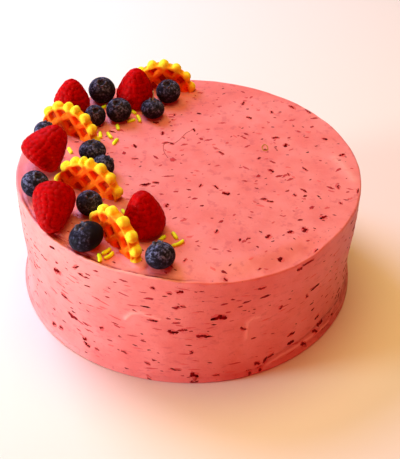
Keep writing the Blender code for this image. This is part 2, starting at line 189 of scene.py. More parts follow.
# The larger flecks on the side: direction in degrees, height, length and width in mm,
# then the slope in degrees
SIDE_FLECKS = (
    (-135, 49, 5.2, 3.8, 22), (-126, 60, 5.0, 1.2, 40), (-124, 57, 2.7, 1.5, 2), (-133, 34, 4.7, 2.3, -19),
    (-130, 23, 6.7, 3.3, -8), (-140, 7, 3.4, 2.2, 29), (-136, 9, 2.8, 1.9, 10), (-118, 25, 2.6, 2.0, 65),
    (-125, 12, 2.8, 2.4, 23), (-124, 9, 4.1, 2.1, -8), (-120, 9, 2.6, 1.4, -11), (-110, 14, 3.3, 1.5, -16),
    (-100, 62, 2.3, 1.6, -23), (-95, 60, 2.3, 1.6, -24), (-92, 61, 3.7, 1.9, -11), (-93, 51, 3.8, 1.9, 0),
    (-91, 52, 2.6, 1.6, -15), (-100, 41, 4.9, 1.8, 7), (-94, 34, 5.4, 3.6, 5), (-91, 36, 4.9, 2.1, 8),
    (-102, 10, 3.3, 1.4, -20), (-93, 8, 6.0, 1.0, 0), (-101, 1, 3.1, 1.6, -33), (-67, 58, 4.7, 1.7, -7),
    (-80, 44, 7.4, 3.4, -11), (-85, 32, 6.1, 3.5, -20), (-88, 20, 2.4, 2.0, -85), (-87, 5, 4.7, 4.0, -64),
    (-87, 1, 4.0, 1.8, -2), (-80, 4, 3.5, 1.2, 5), (-69, 2, 3.0, 2.0, -65), (-65, 2, 2.7, 2.2, 70),
    (-66, 6, 3.9, 2.1, -10), (-63, 6, 4.3, 3.0, 64), (-61, 8, 4.6, 1.9, 23), (-53, 16, 4.7, 1.7, 7),
    (-53, 10, 4.5, 2.6, 5), (-59, 40, 2.7, 2.3, 55), (-48, 38, 3.0, 1.8, -46), (-40, 15, 3.6, 1.9, 8),
    (-38, 9, 5.7, 3.3, 8), (-41, 7, 5.3, 2.5, -17), (-47, 4, 4.3, 3.0, -36), (-72, 33, 3.9, 1.5, -20),
    (-50, 63, 7.5, 1.8, 3), (-53.5, 61.5, 3.6, 2.4, 0),
)

# Lines left by the spatula: through places in mm on the top, and through directions in degrees
# and heights in mm on the side
TOP_MARK = ((78, 12), (81.5, 5.5), (84, -0.5), (86, -7.5))
SIDE_MARKS = (
    ((-109, 38), (-107, 43), (-104, 45), (-101, 44), (-98, 43)),
    ((-70.5, 25), (-70.7, 37), (-69, 39.5), (-66.5, 39)),
)
# Hairline scratches on the top
SCRATCHES = (
    ((-12.5, 23), (-14.4, 20.5), (-14.2, 16), (-13.4, 13), (-11.4, 8.4)),
    ((-8.1, 22.8), (-5.4, 26.3), (-2.2, 32.8), (1.6, 36.5)),
)
# A pale seed ring on the top: its middle and half its width, in mm
SEED_RING = (40.7, 20.0, 1.5)


# Shapes in numbers


def bump(value, centre, spread):
    """A smooth hump of height 1."""
    return np.exp(-(((value - centre) / spread) ** 2))


def smooth_step(low, high, value):
    """0 at low, 1 at high and smooth between."""
    share = np.clip((value - low) / (high - low), 0, 1)
    return share * share * (3 - 2 * share)


def lumps(points, size, shift=0.0):
    """Smooth noise, about -1 to 1, at each point, with lumps of this size."""
    offset = Vector((shift, 2 * shift, 3 * shift))
    return np.array([noise.noise(Vector(point) / size + offset) for point in points])


def leaning(lean, direction):
    """Tips +Z by lean towards a direction in the XY plane, both in degrees."""
    turn = Matrix.Rotation(math.radians(direction), 4, "Z")
    return turn @ Matrix.Rotation(math.radians(lean), 4, "Y") @ turn.inverted()


def moved(points, matrix):
    """The points taken through a 4 by 4 matrix."""
    matrix = np.array(matrix)
    return points @ matrix[:3, :3].T + matrix[:3, 3]


def grid_faces(rows, columns):
    """Quads between rings of points; each ring closes on itself."""
    row, column = np.meshgrid(np.arange(rows - 1), np.arange(columns), indexing="ij")
    following = (column + 1) % columns
    corners = [
        (row + 1) * columns + column,
        (row + 1) * columns + following,
        row * columns + following,
        row * columns + column,
    ]
    return np.stack(corners, -1).reshape(-1, 4).tolist()


def fan_faces(ring_start, columns, middle, flip=False):
    """Triangles from one ring of points to a middle point."""
    faces = []
    for column in range(columns):
        here = ring_start + column
        there = ring_start + (column + 1) % columns
        faces.append((there, here, middle) if flip else (here, there, middle))
    return faces


def closed(points, ends, columns):
    """Points and faces of rings of points with an end point before the first and after the last."""
    last = len(points) - columns
    faces = grid_faces(len(points) // columns, columns)
    faces += fan_faces(0, columns, len(points))
    faces += fan_faces(last, columns, len(points) + 1, flip=True)
    return np.concatenate([points, ends]), faces


def turned(profile, columns):
    """Points and faces of a closed form turned about Z from a profile of (radius, height)."""
    angles = np.arange(columns) * 2 * math.pi / columns
    inner = np.array(profile[1:-1])
    ring = np.stack([np.cos(angles), np.sin(angles)], -1)
    flat = inner[:, None, :1] * ring[None]
    height = np.broadcast_to(inner[:, None, 1:], flat.shape[:2] + (1,))
    points = np.concatenate([flat, height], -1).reshape(-1, 3)
    ends = np.array([(0, 0, profile[0][1]), (0, 0, profile[-1][1])])
    return closed(points, ends, columns)


def tube(path, radius, sides=6):
    """Points and faces of a thin closed rod along a path."""
    along = np.gradient(path, axis=0)
    across = np.cross(along, (0.3, 0.1, 1.0))
    across /= np.linalg.norm(across, axis=1)[:, None]
    over = np.cross(along, across)
    over /= np.linalg.norm(over, axis=1)[:, None]
    turns = np.arange(sides) * 2 * math.pi / sides
    ring = np.cos(turns)[None, :, None] * across[:, None] + np.sin(turns)[None, :, None] * over[:, None]
    points = (path[:, None] + radius * ring).reshape(-1, 3)
    return closed(points, path[[0, -1]], sides)


def joined(parts):
    """One list of points and one of faces from several pairs of them."""
    points, faces, start = [], [], 0
    for some_points, some_faces in parts:
        points.append(some_points)
        faces += [[corner + start for corner in face] for face in some_faces]
        start += len(some_points)
    return np.concatenate(points), faces


def off_line(x, y, line):
    """How far places in mm lie from a line through these points."""
    away = np.full(len(x), 1000.0)
    for (from_x, from_y), (to_x, to_y) in zip(line, line[1:]):
        run_x, run_y = to_x - from_x, to_y - from_y
        share = ((x - from_x) * run_x + (y - from_y) * run_y) / (run_x**2 + run_y**2)
        share = np.clip(share, 0, 1)
        away = np.minimum(away, np.hypot(x - from_x - share * run_x, y - from_y - share * run_y))
    return away


# Pieces


def new_object(name, data):
    """An object that stands in the scene."""
    made = bpy.data.objects.new(name, data)
    bpy.context.scene.collection.objects.link(made)
    return made


def new_piece(name, points, faces, material, slot, nodes=()):
    """A piece from points and faces, with its normals outwards."""
    mesh = bpy.data.meshes.new(name)
    mesh.from_pydata(points.tolist(), [], faces)
    bm = bmesh.new()
    bm.from_mesh(mesh)
    bmesh.ops.recalc_face_normals(bm, faces=bm.faces)
    bm.to_mesh(mesh)
    bm.free()
    return finish_piece(name, mesh, material, nodes)


def finish_piece(name, mesh, material, nodes=()):
    """A smooth-shaded piece that rides on the root body and stands for these nodes."""
    mesh.materials.clear()
    mesh.materials.append(material)
    mesh.shade_smooth()
    piece = new_object(name, mesh)
    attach(piece, "root")
    if nodes:
        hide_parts(*nodes)
    return piece


def read_mesh(mesh, what):
    """The places ("co") or normals ("normal") of a mesh's points."""
    values = np.empty(len(mesh.vertices) * 3)
    mesh.vertices.foreach_get(what, values)
    return values.reshape(-1, 3)


def paint(piece, name, values):
    """Stores one number a point, for the material to read."""
    attribute = piece.data.attributes.new(name, "FLOAT", "POINT")
    attribute.data.foreach_set("value", np.asarray(values, np.float32))


def over_node(points, node):
    """Shifts the points so that they stand where the node does."""
    low, high = (np.array(corner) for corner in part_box(node))
    middle = (points.min(0) + points.max(0)) / 2
    shift = (low + high) / 2 - middle
    shift[2] = low[2] - points[:, 2].min()
    return points + shift


# Node trees


def add(tree, kind, inputs=None, **settings):
    """A shader node. An input is a number, a colour or another node's output."""
    node = tree.nodes.new("ShaderNode" + kind)
    for key, value in settings.items():
        setattr(node, key, value)
    for key, value in (inputs or {}).items():
        if isinstance(value, bpy.types.NodeSocket):
            tree.links.new(value, node.inputs[key])
        else:
            node.inputs[key].default_value = value
    return node


def new_material(name, **sockets):
    """A Principled material, its tree and its shader node."""
    material = bpy.data.materials.new(name)
    material.use_nodes = True
    tree = material.node_tree
    shader = tree.nodes["Principled BSDF"]
    for key, value in sockets.items():
        shader.inputs[key.replace("_", " ")].default_value = value
    return material, tree, shader


def place(tree, stretch=(1, 1, 1)):
    """Object coordinates in metres, each axis multiplied by its stretch."""
    coordinates = add(tree, "TexCoord").outputs["Object"]
    scaled = add(tree, "VectorMath", {0: coordinates, 1: stretch}, operation="MULTIPLY")
    return scaled.outputs[0]


def noise_value(tree, where, lump, detail=3.0, roughness=0.5):
    """Noise from 0 to 1 with lumps of this size in metres."""
    inputs = {"Vector": where, "Scale": 1 / lump, "Detail": detail, "Roughness": roughness}
    return add(tree, "TexNoise", inputs).outputs["Fac"]


def ramp(tree, value, low, high, bottom=0.0, top=1.0):
    """Takes a value from low to high to a share from bottom to top, smoothly."""
    inputs = {"Value": value, 1: low, 2: high, 3: bottom, 4: top}
    return add(tree, "MapRange", inputs, interpolation_type="SMOOTHSTEP").outputs["Result"]


def mixed(tree, share, colour_a, colour_b):
    """A colour between two others. A colour is three linear numbers or an output."""
    node = tree.nodes.new("ShaderNodeMix")
    node.data_type = "RGBA"
    for index, value in ((0, share), (6, colour_a), (7, colour_b)):
        socket = node.inputs[index]
        if isinstance(value, bpy.types.NodeSocket):
            tree.links.new(value, socket)
        else:
            socket.default_value = value if index == 0 else (*value, 1)
    return node.outputs[2]


def times(tree, a, b):
    return add(tree, "Math", {0: a, 1: b}, operation="MULTIPLY").outputs[0]


def read_paint(tree, name):
    """The numbers that paint() stored under this name."""
    return add(tree, "Attribute", attribute_name=name).outputs["Fac"]


def cover(tree, shader, colour, height, distance, strength=1.0):
    """Colour, and fine relief in the shading, this many metres deep."""
    tree.links.new(colour, shader.inputs["Base Color"])
    inputs = {"Height": height, "Distance": distance, "Strength": strength}
    tree.links.new(add(tree, "Bump", inputs).outputs["Normal"], shader.inputs["Normal"])


def cream_material():
    """Pink buttercream with faint mauve smears, pin-prick flecks and scraper marks, painted highlights on
    its ridges and painted shade in its grooves and creases.
    """
    material, tree, shader = new_material(
        "berry_buttercream", Roughness=0.55,
        Subsurface_Weight=0.25, Subsurface_Scale=0.004, Subsurface_Radius=(1.0, 0.3, 0.22),
    )
    where = place(tree)
    flattened = place(tree, (1, 1, 2.4))
    broad = noise_value(tree, where, 22 * MM, 4, 0.6)
    base = mixed(tree, ramp(tree, broad, 0.35, 0.65), (0.76, 0.178, 0.160), (0.82, 0.245, 0.222))
    # Painted highlights on the ridges, and painted light high on the side at the front left
    base = mixed(tree, read_paint(tree, "pale"), base, (1.0, 0.46, 0.38))
    smear = ramp(tree, noise_value(tree, flattened, 5 * MM, 4, 0.6), 0.54, 0.68, 0, 0.40)
    base = mixed(tree, smear, base, (0.55, 0.075, 0.095))
    dots = add(tree, "TexVoronoi", {"Vector": flattened, "Scale": 1 / (3.4 * MM)})
    dot = ramp(tree, dots.outputs["Distance"], 0.10, 0.05)
    chosen = ramp(tree, noise_value(tree, where, 9 * MM, 2), 0.48, 0.52)
    base = mixed(tree, times(tree, times(tree, dot, chosen), 0.85), base, (0.20, 0.006, 0.010))
    streaked = add(tree, "CombineXYZ", {0: read_paint(tree, "around"), 1: read_paint(tree, "across")})
    streak = ramp(tree, noise_value(tree, streaked.outputs[0], 1.2 * MM, 3, 0.6), 0.42, 0.55, 0.3, 1)
    # Painted shade, dark crimson and streaked, in the lip's grooves, in the crease and low on the right
    # foot
    base = mixed(tree, times(tree, read_paint(tree, "painted_shade"), streak), base, (0.32, 0.005, 0.012))
    grain = noise_value(tree, where, 1.3 * MM, 3)
    combed = noise_value(tree, place(tree, (0.04, 0.04, 1)), 1.1 * MM, 2)
    relief = add(tree, "Math", {0: grain, 1: times(tree, combed, 1.2)}, operation="ADD").outputs[0]
    cover(tree, shader, base, relief, 0.14 * MM, 0.8)
    return material


def fleck_material():
    """Dark crimson berry skin, fainter where cream covers it, and pale seed."""
    material, tree, shader = new_material("berry_skin", Roughness=0.6, Specular_IOR_Level=0.0)
    shade = noise_value(tree, place(tree), 2.0 * MM, 2)
    dark = ramp(tree, shade, 0.35, 0.65)
    colour = mixed(tree, dark, (0.024, 0.0004, 0.0010), (0.22, 0.0012, 0.0030))
    faint = read_paint(tree, "faint")
    colour = mixed(tree, faint, colour, (0.60, 0.058, 0.070))
    colour = mixed(tree, ramp(tree, faint, 0.65, 1.05), colour, (0.84, 0.185, 0.165))
    colour = mixed(tree, read_paint(tree, "seed"), colour, (0.52, 0.24, 0.06))
    cover(tree, shader, colour, noise_value(tree, place(tree), 0.5 * MM), 0.05 * MM)
    return material


def thread_material():
    """A dry tan stem."""
    return new_material("dry_stem", Base_Color=(0.38, 0.24, 0.06, 1), Roughness=0.7)[0]


def sprinkle_material():
    """Yellow-green sugar."""
    material, tree, shader = new_material(
        "sprinkle_sugar", Roughness=0.5, Specular_IOR_Level=0.2,
        Subsurface_Weight=0.1, Subsurface_Scale=0.001,
    )
    shade = noise_value(tree, place(tree), 4 * MM, 1)
    colour = mixed(tree, ramp(tree, shade, 0.35, 0.65), (0.72, 0.95, 0.008), (0.86, 1.0, 0.020))
    cover(tree, shader, colour, noise_value(tree, place(tree), 0.6 * MM), 0.06 * MM)
    return material


def raspberry_material():
    """Soft deep red flesh with painted shade between the drupelets, and a few pale hairs."""
    material, tree, shader = new_material(
        "raspberry_flesh", Roughness=0.5, Specular_IOR_Level=0.03,
        Subsurface_Weight=0.3, Subsurface_Scale=0.003, Subsurface_Radius=(1.0, 0.03, 0.03),
    )
    where = place(tree)
    shade = noise_value(tree, where, 3 * MM, 2)
    flesh = mixed(tree, ramp(tree, shade, 0.35, 0.65), (0.34, 0.0003, 0.0006), (0.46, 0.0006, 0.0010))
    crest = read_paint(tree, "crest")
    # Painted shade: darker red between the drupelets, where crest is low
    colour = mixed(tree, ramp(tree, crest, 0.0, 0.5), (0.31, 0.0002, 0.0004), flesh)
    hairs = add(tree, "TexVoronoi", {"Vector": place(tree, (1, 1, 0.45)), "Scale": 1 / (1.7 * MM)})
    hair = ramp(tree, hairs.outputs["Distance"], 0.11, 0.06)
    chosen = ramp(tree, noise_value(tree, where, 4 * MM, 2), 0.52, 0.58, 0, 0.6)
    colour = mixed(tree, times(tree, hair, chosen), colour, (0.62, 0.16, 0.13))
    cover(tree, shader, colour, noise_value(tree, where, 0.6 * MM), 0.03 * MM)
    return material


def blueberry_material():
    """Near-black skin under a mottled blue-grey bloom, thinned low down as painted shade, and a paler
    crown.
    """
    material, tree, shader = new_material("blueberry_skin", Roughness=0.3, Specular_IOR_Level=0.012)
    where = place(tree)
    patch = ramp(tree, noise_value(tree, where, 3.6 * MM, 4, 0.65), 0.40, 0.60, 0.12, 1)
    fine = ramp(tree, noise_value(tree, where, 1.2 * MM, 3, 0.65), 0.44, 0.62, 0.08, 1)
    # The bloom paint also carries painted shade: less bloom low down and on one berry's right side
    amount = times(tree, times(tree, patch, fine), read_paint(tree, "bloom"))
    colour = mixed(tree, amount, (0.010, 0.008, 0.012), (0.145, 0.155, 0.27))
    colour = mixed(tree, read_paint(tree, "crown"), colour, (0.13, 0.13, 0.175))
    cover(tree, shader, colour, noise_value(tree, where, 0.6 * MM), 0.04 * MM)
    return material


def waffle_material():
    """Baked orange faces with painted shade, dark red, on the pit floors, and bright yellow knobs."""
    material, tree, shader = new_material(
        "waffle_crust", Roughness=0.65, Specular_IOR_Level=0.1,
        Subsurface_Weight=0.2, Subsurface_Scale=0.002, Subsurface_Radius=(1.0, 0.3, 0.02),
    )
    where = place(tree)
    shade = noise_value(tree, where, 3.0 * MM, 4, 0.6)
    face = mixed(tree, ramp(tree, shade, 0.35, 0.65), (0.97, 0.115, 0.0005), (1.0, 0.205, 0.001))
    # Painted shade: the pit floors darker red
    face = mixed(tree, times(tree, read_paint(tree, "pit"), 0.85), face, (0.42, 0.019, 0.0003))
    rim = mixed(tree, ramp(tree, shade, 0.38, 0.6), (0.97, 0.68, 0.018), (1.0, 0.92, 0.045))
    colour = mixed(tree, read_paint(tree, "rim"), face, rim)
    cover(tree, shader, colour, noise_value(tree, where, 0.7 * MM, 4, 0.65), 0.14 * MM)
    return material


# The cream


def side_radius(height):
    """The side draws in to a slight waist below the middle."""
    return CAKE_RADIUS - WAIST_DEPTH * bump(height, WAIST_HEIGHT, WAIST_SPREAD)


def cream_profile():
    """(radius, height) from the middle of the top, over the edge and down to the underside."""
    flat_end = CAKE_RADIUS - EDGE_ROUND
    profile = [(radius, CAKE_HEIGHT) for radius in np.arange(0, 47, 3.0) * MM]
    profile += [(radius, CAKE_HEIGHT) for radius in np.arange(48, 83, 1.4) * MM]
    profile += [(radius, CAKE_HEIGHT) for radius in np.arange(83, flat_end / MM, 0.45) * MM]
    for angle in np.radians(np.arange(0, 91, 22.5)):
        inset = EDGE_ROUND * (1 - math.sin(angle))
        drop = EDGE_ROUND * (1 - math.cos(angle))
        profile.append((CAKE_RADIUS - inset, CAKE_HEIGHT - drop))
    for height in (*np.arange(66, 12, -1.3), *np.arange(11.6, 2, -0.6)):
        profile.append((side_radius(height * MM), height * MM))
    for height in (1.6, 1.0, 0.5, 0.15):
        profile.append((FOOT_RADIUS - 0.3 * MM * bump(height, 0, 0.5), height * MM))
    profile += [(FOOT_RADIUS - 0.6 * MM, 0), (FOOT_RADIUS - 6 * MM, 0), (0, 0)]
    return profile


def lip_share(angle):
    """How much of the ragged lip stands at this angle: all at the front left, none at the right."""
    degrees = np.degrees(angle)
    near = smooth_step(-168, -150, degrees) * (1 - smooth_step(-98, -82, degrees))
    ragged = 0.72 + 0.28 * np.sin(13 * angle) * np.sin(7 * angle + 1.3)
    return near * ragged


def bead_share(angle):
    """How far the foot bead stands out: all at the right and back, little at the front left."""
    return 0.25 + 0.75 * smooth_step(-0.5, 0.2, np.cos(angle - math.radians(70)))


def pressed_rise(x, y):
    """How far the cream rises where toppings press into it."""
    rise = np.zeros(len(x))
    for node in (*RASPBERRIES, *BLUEBERRIES):
        low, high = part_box(node)
        away = np.hypot(x - (low.x + high.x) / 2, y - (low.y + high.y) / 2)
        reach = (high.x - low.x + high.y - low.y) / 4
        under = 1 - smooth_step(0.45 * reach, 0.95 * reach, away)
        ridge = bump(away, 0.85 * reach, 1.6 * MM)
        rise = np.maximum(rise, 0.7 * MM * under + 0.25 * MM * ridge)
    for node, (radius, _, heading, _, _) in WAFFLES.items():
        low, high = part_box(node)
        along_x, along_y = math.cos(math.radians(heading)), math.sin(math.radians(heading))
        dx, dy = x - (low.x + high.x) / 2, y - (low.y + high.y) / 2
        along = np.clip(dx * along_x + dy * along_y, -radius * MM, radius * MM)
        away = np.hypot(dx - along * along_x, dy - along * along_y)
        edge = WAFFLE_THICKNESS / 2
        under = 1 - smooth_step(edge, edge + 1.5 * MM, away)
        rise = np.maximum(rise, 0.6 * MM * under)
    return rise


def sag(angle):
    """How far the edge of the top hangs down at this angle."""
    return np.interp(np.degrees(angle), *zip(*SAG)) * MM


def crease_share(angle, height):
    """The crease over the foot bead, at the right and lower towards the front."""
    degrees = np.degrees(angle)
    line = (np.interp(degrees, *zip(*BEAD_LINE)) + 2.2 + 3.0 * smooth_step(-48, -36, degrees)) * MM
    present = smooth_step(-70, -62, degrees) * (1 - smooth_step(-8, 6, degrees))
    return present * bump(height, line, 1.0 * MM)


def side_mark_share(degrees, height):
    """1 on the lines that the spatula left on the side."""
    share = np.zeros(len(height))
    for line in SIDE_MARKS:
        places = [(turn * MM_PER_DEGREE, up) for turn, up in line]
        away = off_line(degrees * MM_PER_DEGREE, height / MM, places)
        share = np.maximum(share, bump(away, 0, 0.9))
    return share


def make_cream(material):
    """The coat of cream, with its lip, groove, bead and the rises round what is pressed in.

    It gives back its surface, for the flecks to lie on."""
    points, faces = turned(cream_profile(), CAKE_COLUMNS)
    x, y, height = points.T
    radius = np.hypot(x, y)
    angle = np.arctan2(y, x)
    degrees = np.degrees(angle)
    is_outer = radius > 80 * MM
    is_top = height > CAKE_HEIGHT - EDGE_ROUND / 2
    is_side = is_outer & (height > 1 * MM) & ~is_top
    lip = lip_share(angle)
    crest = bump(radius, LIP_RADIUS, RIDGE_SPREAD)
    side_mark = side_mark_share(degrees, height) * is_side
    top_mark = bump(off_line(x / MM, y / MM, TOP_MARK), 0, 2.6) * is_top
    crease = crease_share(angle, height) * is_side

    # Outwards: wobble, foot bead, unevenness, spatula marks and the crease
    wave = 0.6 * np.sin(3 * angle + 0.6) + 0.4 * np.sin(5 * angle + 2.1)
    inside = np.sin(math.pi * np.clip(height / CAKE_HEIGHT, 0, 1))
    reach = radius + SIDE_WOBBLE * wave * inside
    reach += BEAD_DEPTH * bead_share(angle) * bump(height, BEAD_HEIGHT, BEAD_SPREAD) * is_outer
    reach += is_side * (0.16 * MM * lumps(points, 9 * MM) + 0.22 * MM * lumps(points, 26 * MM, 5))
    reach += MARK_RISE * side_mark - CREASE_DEPTH * crease
    reach -= is_side * lip * 0.7 * MM * smooth_step(61 * MM, 67 * MM, height)

    # Upwards: the ragged lip and its grooves, what is pressed in, unevenness and the sagging edge
    ragged = 1 + 0.6 * lumps(points, 2.4 * MM, 3)
    grooves = bump(radius, GROOVE_RADIUS, 0.7 * MM)
    grooves += 0.5 * bump(radius, GROOVE_RADIUS - 2 * MM, 0.6 * MM)
    lift = lip * is_top * (LIP_HEIGHT * crest * ragged - GROOVE_DEPTH * grooves)
    lift += is_top * pressed_rise(x, y) + 0.5 * MARK_RISE * top_mark
    lift += is_top * (0.10 * MM * lumps(points, 7 * MM, 9) + 0.18 * MM * lumps(points, 24 * MM, 11))
    near_edge = smooth_step(76 * MM, 90 * MM, radius)
    low_edge = np.where(is_top, near_edge, smooth_step(45 * MM, 67 * MM, height))
    rim = CAKE_RADIUS * np.stack([np.cos(angle), np.sin(angle), 0 * angle], -1)
    lift -= (sag(angle) + 0.3 * MM * lumps(rim, 8 * MM, 13)) * low_edge * (radius > 70 * MM)
    shaped = np.stack([reach * np.cos(angle), reach * np.sin(angle), height + lift], -1)
    cream = new_piece("cream", shaped, faces, material, "berry_buttercream", ["cake"])

    # Paint: painted shade in the grooves, the crease and low over the right foot, painted highlights on
    # the ridges, and painted light high on the side at the front left
    wide = smooth_step(-118, -130, degrees) * smooth_step(-152, -144, degrees)
    groove = bump(radius, GROOVE_RADIUS - 1.4 * MM * wide, (0.7 + 1.9 * wide) * MM) * is_top * lip
    foot = smooth_step(-66, -60, degrees) * (1 - smooth_step(-14, -4, degrees)) * is_side
    # A painted highlight along the crest of the foot bead
    line = foot * bump(height, np.interp(degrees, *zip(*BEAD_LINE)) * MM, 0.7 * MM)
    # Painted shade low on the right foot
    foot_shade = 0.45 * foot * smooth_step(-46, -30, degrees) * (1 - smooth_step(9 * MM, 16 * MM, height))
    paint(cream, "painted_shade", np.clip(1.5 * groove + 0.4 * crease + foot_shade * (1 - line), 0, 1))
    # Painted light: paler high on the side at the front left
    painted_light_upper_left = smooth_step(-178, -165, degrees) * (1 - smooth_step(-95, -60, degrees)) * is_side
    painted_light_upper_left *= smooth_step(34 * MM, 58 * MM, height)
    # Painted highlights on the lip's crest and the spatula ridges
    marks = 0.8 * lip * crest * is_top + 0.7 * side_mark + 0.4 * top_mark
    paint(cream, "pale", np.clip(marks + 0.9 * line + 0.2 * painted_light_upper_left, 0, 1))
    paint(cream, "around", angle * CAKE_RADIUS * 0.2)
    paint(cream, "across", radius + height)
    return BVHTree.FromPolygons(shaped.tolist(), faces)


def make_sprinkles(material):
    """Bent sugar rods with round ends, half sunk in the cream."""
    sides, rows = 12, 12
    parts = []
    for x, y, length, heading, bend in SPRINKLES:
        along = -np.cos(np.linspace(0, math.pi, rows + 1)) * length * MM / 2
        cap = SPRINKLE_RADIUS
        from_end = np.clip(length * MM / 2 - np.abs(along), 0, cap)
        width = np.sqrt(cap**2 - (cap - from_end) ** 2)
        profile = [(width[i], along[i]) for i in range(rows + 1)][::-1]
        points, faces = turned(profile, sides)
        points = points[:, [2, 0, 1]]
        points[:, 1] += bend * MM * (1 - (points[:, 0] / (length * MM / 2)) ** 2)
        points *= 1 + 0.07 * lumps(points, 2 * MM, x)[:, None]
        points = moved(points, Matrix.Rotation(math.radians(heading), 4, "Z"))
        points += (x * MM, y * MM, CAKE_HEIGHT + SPRINKLE_RISE + 0.15 * MM)
        parts.append((points, faces))
    return new_piece("sprinkles", *joined(parts), material, "sprinkle_sugar")


# Berry flecks in the cream


def on_top(surface, x, y):
    """Finds places on the top for offsets along X and Y, and which way is out there."""

    def drop(along, up):
        places = []
        for u, v in zip(along, up):
            start = Vector((x + u, y + v, 0))
            start *= min(1, 89 * MM / start.length)
            start.z = 2 * CAKE_HEIGHT
            places.append(surface.ray_cast(start, Vector((0, 0, -1)))[0])
        return np.array(places), np.array([0, 0, 1.0])

    return drop


def on_side(surface, angle, height):
    """Finds places on the side for offsets round it and up, and which way is out there."""

    def press(along, up):
        places = []
        for u, v in zip(along, up):
            turn = angle + u / CAKE_RADIUS
            out = Vector((math.cos(turn), math.sin(turn), 0))
            highest = CAKE_HEIGHT - sag(turn) - 1.2 * MM
            level = Vector((0, 0, min(max(height + v, 0.4 * MM), highest)))
            places.append(surface.ray_cast(2 * CAKE_RADIUS * out + level, -out)[0])
        return np.array(places), np.array([math.cos(angle), math.sin(angle), 0])

    return press


def fleck(find, length, width, heading, height=1.0, shift=(0, 0)):
    """A torn bit of skin that follows the cream, thin at its edge.

    find gives its places on the cream, height is how much it stands out, 1 for a common one, and
    shift moves it along its own length and width."""
    turns = np.arange(12) * 2 * math.pi / 12
    torn = 1 + 0.7 * (random.random(12) - 0.5)
    along = torn * np.cos(turns) * length / 2
    over = torn * np.sin(turns) * (1 - 0.4 * np.abs(np.cos(turns)) ** 3) * width / 2
    turn_u, turn_v = math.cos(heading), math.sin(heading)
    u, v = along * turn_u - over * turn_v, along * turn_v + over * turn_u
    middle_u = shift[0] * turn_u - shift[1] * turn_v
    middle_v = shift[0] * turn_v + shift[1] * turn_u
    rings = []
    for share, rise in ((1.0, -0.10), (0.82, 0.07), (0.45, 0.12)):
        places, out = find(u * share + middle_u, v * share + middle_v)
        rings.append(places + rise * height * MM * out)
    middle = find([middle_u], [middle_v])[0]
    points = np.concatenate(rings + [middle - 0.3 * MM * out, middle + 0.13 * height * MM * out])
    faces = grid_faces(3, 12) + fan_faces(0, 12, 36) + fan_faces(24, 12, 37, flip=True)
    return points, faces


def make_flecks(material, surface):
    """Torn bits of berry skin in the cream: the larger ones, faint smears, then many small ones."""
    parts, faint, seed = [], [], []

    def keep(part, faintness, seed_share=0.0):
        parts.append(part)
        faint.extend([faintness] * len(part[0]))
        seed.extend([seed_share] * len(part[0]))

    def keep_torn(find, length, width, heading, faintness):
        """A large fleck in three shreds, over the juice that has crept from it into the cream."""
        length, width, heading = length * MM, width * MM, math.radians(heading)
        keep(fleck(find, length + 1.3 * MM, width + 1.2 * MM, heading, 0.45), random.uniform(0.84, 0.94))
        for along in (-0.26, 0.0, 0.28):
            shift = (along * length, random.uniform(-0.18, 0.18) * width)
            shred = (length * random.uniform(0.42, 0.66), width * random.uniform(0.55, 0.95))
            keep(fleck(find, *shred, heading + random.uniform(-0.4, 0.4), 1.0, shift), faintness)

    def strew(count, reach, draw_size, stretch, width, heading, faintness, height=1.0):
        """Adds flecks at random places on the top, within this share of its radius, or on the side.

        Their width is a share of their size, and each pair is a range to draw from."""
        for _ in range(count):
            radius = CAKE_RADIUS * reach * math.sqrt(random.random()) if reach else CAKE_RADIUS
            angle = random.uniform(-math.pi, math.pi)
            size = draw_size() * MM
            if reach:
                find = on_top(surface, radius * math.cos(angle), radius * math.sin(angle))
            else:
                find = on_side(surface, angle, random.uniform(3, 64) * MM)
            length = size * random.uniform(*stretch)
            bit = fleck(find, length, size * width, random.uniform(*heading), height)
            keep(bit, random.uniform(*faintness))

    for x, y, length, width, heading in TOP_FLECKS:
        find = on_top(surface, x * MM, y * MM)
        keep_torn(find, length, width, heading, random.uniform(0, 0.1))
    for x, y, length, width, heading in TOP_SMEARS:
        find = on_top(surface, x * MM, y * MM)
        keep(fleck(find, length * MM, width * MM, math.radians(heading)), random.uniform(0.5, 0.8))
    for turn, height, length, width, heading in SIDE_FLECKS:
        find = on_side(surface, math.radians(turn), height * MM)
        keep_torn(find, length, width, heading, random.uniform(0, 0.2))
    # Faint smears and then small flecks, on the top and on the side
    strew(150, 0.96, lambda: random.uniform(1.2, 3.0), (1.0, 1.8), 0.6, (-0.9, 0.9), (0.7, 0.97), 0.7)
    strew(220, 0.95, lambda: random.gamma(2.0, 0.30) + 0.7, (1.0, 2.0), 0.7, (-0.9, 0.9), (0, 0.85))
    strew(240, None, lambda: random.uniform(0.9, 1.8), (2.5, 5.0), 0.6, (-0.2, 0.15), (0.75, 0.97), 0.7)
    strew(420, None, lambda: random.gamma(2.0, 0.35) + 0.6, (1.2, 2.8), 0.6, (-0.25, 0.2), (0, 0.8))
    for line in SCRATCHES:
        steps = np.linspace(0, len(line) - 1, 6 * len(line))
        x, y = (np.interp(steps, range(len(line)), values) * MM for values in zip(*line))
        path = on_top(surface, 0, 0)(x, y)[0]
        keep(tube(path, 0.14 * MM), 0.45)
    x, y, reach = (value * MM for value in SEED_RING)
    turns = np.linspace(0, 1.93 * math.pi, 24)
    path = on_top(surface, x, y)(reach * np.cos(turns), 2.0 * reach * np.sin(turns))[0]
    keep(tube(path, 0.38 * MM), 0, 1)
    piece = new_piece("berry_flecks", *joined(parts), material, "raspberry_flesh")
    paint(piece, "faint", faint)
    paint(piece, "seed", seed)
    return piece


# Raspberries


